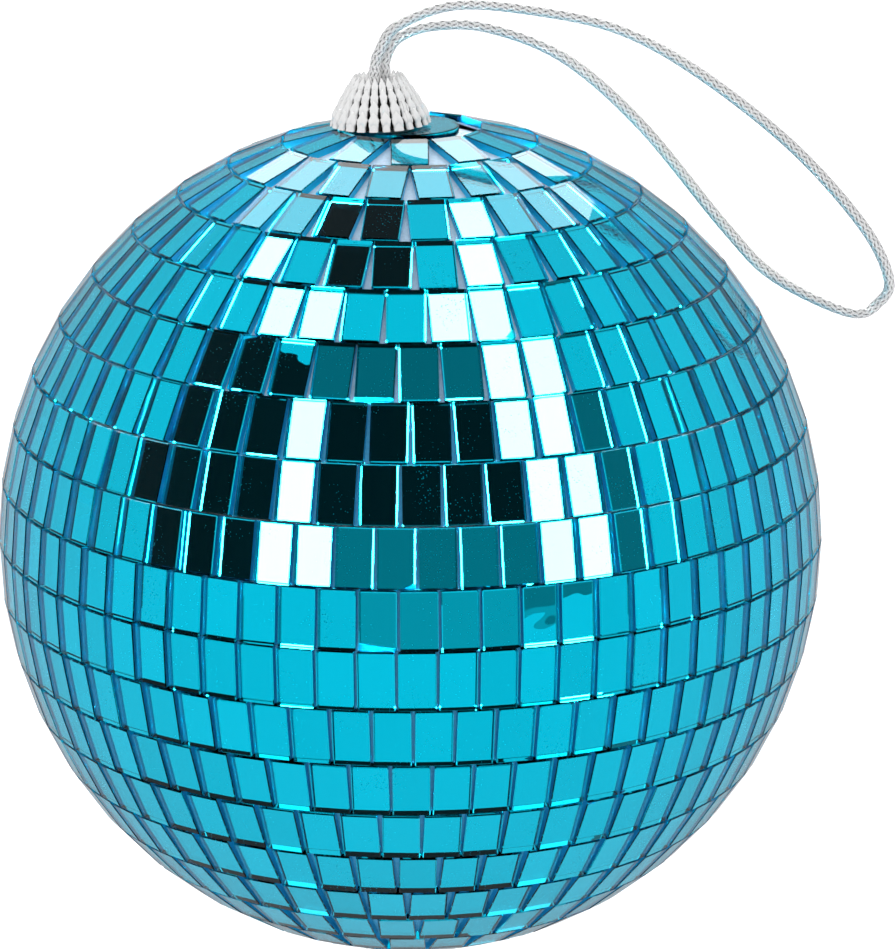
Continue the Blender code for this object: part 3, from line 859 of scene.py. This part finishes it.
def card(name, west, east, low, high, distance, strength):
    """A panel that the ball sees between two headings and two heights, in degrees. Heading 0 is
    straight in front of the ball and 90 to its right."""
    heading, height = math.radians((west + east) / 2), math.radians((low + high) / 2)
    wide = 2 * distance * math.tan(math.radians(east - west) / 2) * math.cos(height)
    tall = 2 * distance * math.tan(math.radians(high - low) / 2)
    turn = Matrix.Rotation(heading, 4, "Z") @ Matrix.Rotation(math.pi / 2 - height, 4, "X")
    add_panel(name, Matrix.Translation(CENTRE) @ turn @ Matrix.Translation((0, 0, distance))
              @ Matrix.Diagonal((wide, tall, 1, 1)), strength)


def roof_card(name, left, right, front, back, strength):
    """A level panel overhead, its sides given as sideways and depth distance for each metre up."""
    middle = Vector(((left + right) / 2, (front + back) / 2, 1))
    return add_panel(name, Matrix.Translation(CENTRE + middle * ROOF_HEIGHT)
                     @ Matrix.Diagonal(((right - left) * ROOF_HEIGHT, (back - front) * ROOF_HEIGHT,
                                        1, 1)), strength)


def floor_card(name, left, right, front, back, strength):
    """A panel lying on the table in front of the ball."""
    middle = Vector(((left + right) / 2, (front + back) / 2, MM))
    add_panel(name, Matrix.Translation(middle)
              @ Matrix.Diagonal((right - left, back - front, 1, 1)), strength)


class MIRRORBALL_OT_stage(bpy.types.Operator):
    """Camera, pale floor, white tent, softboxes and dark cards"""
    bl_idname = "mirrorball.stage"
    bl_label = "Studio"

    def execute(self, context):
        settings = context.scene.mirror_ball.studio
        scene = context.scene
        scene.view_settings.view_transform = "Standard"
        scene.view_settings.exposure = EXPOSURE
        add_camera(scene)

        world = bpy.data.worlds.new("white_tent")
        world.use_nodes = True
        sky = world.node_tree.nodes["Background"]
        sky.inputs["Color"].default_value = (*linear("#ffffff"), 1)
        level = soft_to_gloss(world.node_tree, settings.daylight)
        world.node_tree.links.new(level, sky.inputs["Strength"])
        scene.world = world

        bm = bmesh.new()
        bmesh.ops.create_circle(bm, cap_ends=True, segments=64, radius=FLOOR_RADIUS)
        floor_finish, tree, shader = new_material("white_table")
        base = [part * FLOOR_BASE for part in settings.floor]
        shader.inputs["Base Color"].default_value = (*base, 1)
        shader.inputs["Roughness"].default_value = 1.0
        shader.inputs["Specular IOR Level"].default_value = 0.0
        shader.inputs["Emission Color"].default_value = (*settings.floor, 1)
        level = soft_to_gloss(tree, FLOOR_GLOW * settings.daylight)
        tree.links.new(level, shader.inputs["Emission Strength"])
        floor = finish_piece("floor", bm, None, [floor_finish])

        bright = settings.softbox
        card("softbox_left", -41, -29.5, 3, 43, NEAR, bright)
        card("softbox_right", 33, 57, 2.5, 57, NEAR, bright)
        roof_card("softbox_roof_right", 0.12, 0.42, -0.34, 0.42, bright)
        roof_card("softbox_roof_left", -0.68, -0.48, -0.28, 0.40, bright)
        roof_card("softbox_roof_front", -0.48, -0.32, -0.34, -0.06, bright)
        card("softbox_left_low", -33, -21, 3.5, 13, NEAR, bright)
        card("dark_card_left", -83, -41, 1, 52, FAR, BLACK)
        card("dark_card_middle", -29, 31, 12, 46, FAR, BLACK)
        card("grey_card_upper", -44, 34, 46, 61, FARTHEST, GREY)
        card("grey_card_level", -20, 33, 3, 12, FARTHEST, LIGHT_GREY)
        card("grey_card_right", 59, 66, 0, 37, FAR, GREY)
        roof_card("dark_card_roof", -0.34, -0.03, -0.04, 0.42, DEEP_BLACK)
        floor_card("grey_mat_left", -0.56, -0.42, -0.9, -0.4, GREY)
        floor_card("grey_mat_middle", -0.16, 0.34, -1.1, -0.5, PALE_GREY)
        floor_card("grey_mat_right", 0.34, 0.60, -1.1, -0.45, LIGHT_GREY)
        # the glass's outer faces mirror this one, and the silver behind them doesn't
        sheen = roof_card("sheen_panel_roof", -0.7, 0.7, 0.40, 1.7, SHEEN)
        sheen.visible_glossy, sheen.visible_transmission = True, False
        return {"FINISHED"}


def add_camera(scene):
    """Long lens, a little above the ball, with the ball left of and below the middle of the frame."""
    data = bpy.data.cameras.new("camera")
    data.sensor_width = SENSOR
    data.lens = LENS
    data.clip_start, data.clip_end = 0.01, 20
    camera = bpy.data.objects.new("camera", data)
    back = Vector((0, -math.cos(CAMERA_RISE), math.sin(CAMERA_RISE)))
    up = Vector((0, math.sin(CAMERA_RISE), math.cos(CAMERA_RISE)))
    camera.location = CENTRE + back * CAMERA_DISTANCE
    aim = CENTRE + Vector((AIM_RIGHT, 0, 0)) + up * AIM_UP
    camera.rotation_euler = (aim - camera.location).to_track_quat("-Z", "Y").to_euler()
    scene.collection.objects.link(camera)
    scene.camera = camera


# ---- Panel and registration ----------------------------------------------------------------------
class MIRRORBALL_PT_panel(bpy.types.Panel):
    """Lists the pieces of the mirror ball"""
    bl_idname = "MIRRORBALL_PT_panel"
    bl_label = "Mirror Ball"
    bl_space_type = "VIEW_3D"
    bl_region_type = "UI"
    bl_category = "Mirror Ball"

    def draw(self, context):
        settings = context.scene.mirror_ball
        for group in (settings.studio, settings.cord, settings.tiles, settings.cap):
            box = self.layout.box()
            for name in group.bl_rna.properties.keys()[2:]:     # past the group's name and type
                box.prop(group, name)
        for operator in OPERATORS:
            self.layout.operator(operator.bl_idname)


OPERATORS = (MIRRORBALL_OT_stage, MIRRORBALL_OT_cord, MIRRORBALL_OT_tiles, MIRRORBALL_OT_discs,
             MIRRORBALL_OT_core, MIRRORBALL_OT_cap)
CLASSES = (TileSettings, CapSettings, CordSettings, StudioSettings, MirrorBallSettings,
           *OPERATORS, MIRRORBALL_PT_panel)


def register():
    for kind in CLASSES:
        bpy.utils.register_class(kind)
    bpy.types.Scene.mirror_ball = PointerProperty(type=MirrorBallSettings)


def unregister():
    del bpy.types.Scene.mirror_ball
    for kind in reversed(CLASSES):
        bpy.utils.unregister_class(kind)


def main():
    register()
    for operator in OPERATORS:
        group, name = operator.bl_idname.split(".")
        getattr(getattr(bpy.ops, group), name)()


if __name__ == "__main__":
    main()
